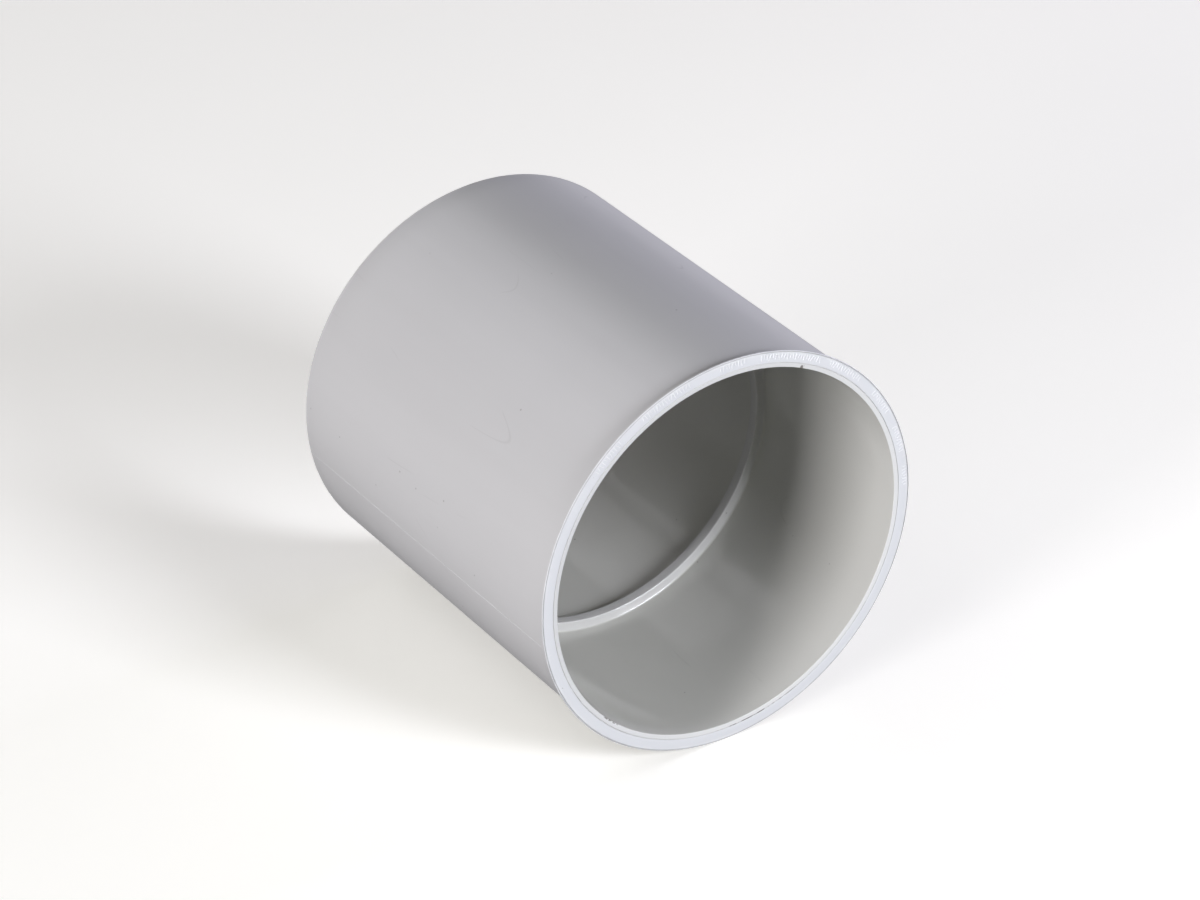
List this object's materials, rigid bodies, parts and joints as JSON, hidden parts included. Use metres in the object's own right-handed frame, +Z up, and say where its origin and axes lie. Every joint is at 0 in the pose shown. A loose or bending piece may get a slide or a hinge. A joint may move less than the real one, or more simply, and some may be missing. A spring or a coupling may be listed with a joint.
{
  "type": "pipe coupling",
  "caption": "Plain grey plastic sleeve coupling: a straight barrel open at both ends, a thin lip round one mouth and a raised stop ring halfway along the bore.",
  "frame": {"origin": "middle of the coupling's axis, halfway between its two end faces", "axes": "+Y along the axis, from the lipped mouth to the plain end; +Z up with the coupling lying on its side"},
  "size_m": [0.1206, 0.126, 0.1206],
  "materials": {
    "pvc": "smooth moulded light grey, softly glossy"
  },
  "bodies": {
    "root": {"coupling_body": "pvc"}
  },
  "joints": []
}
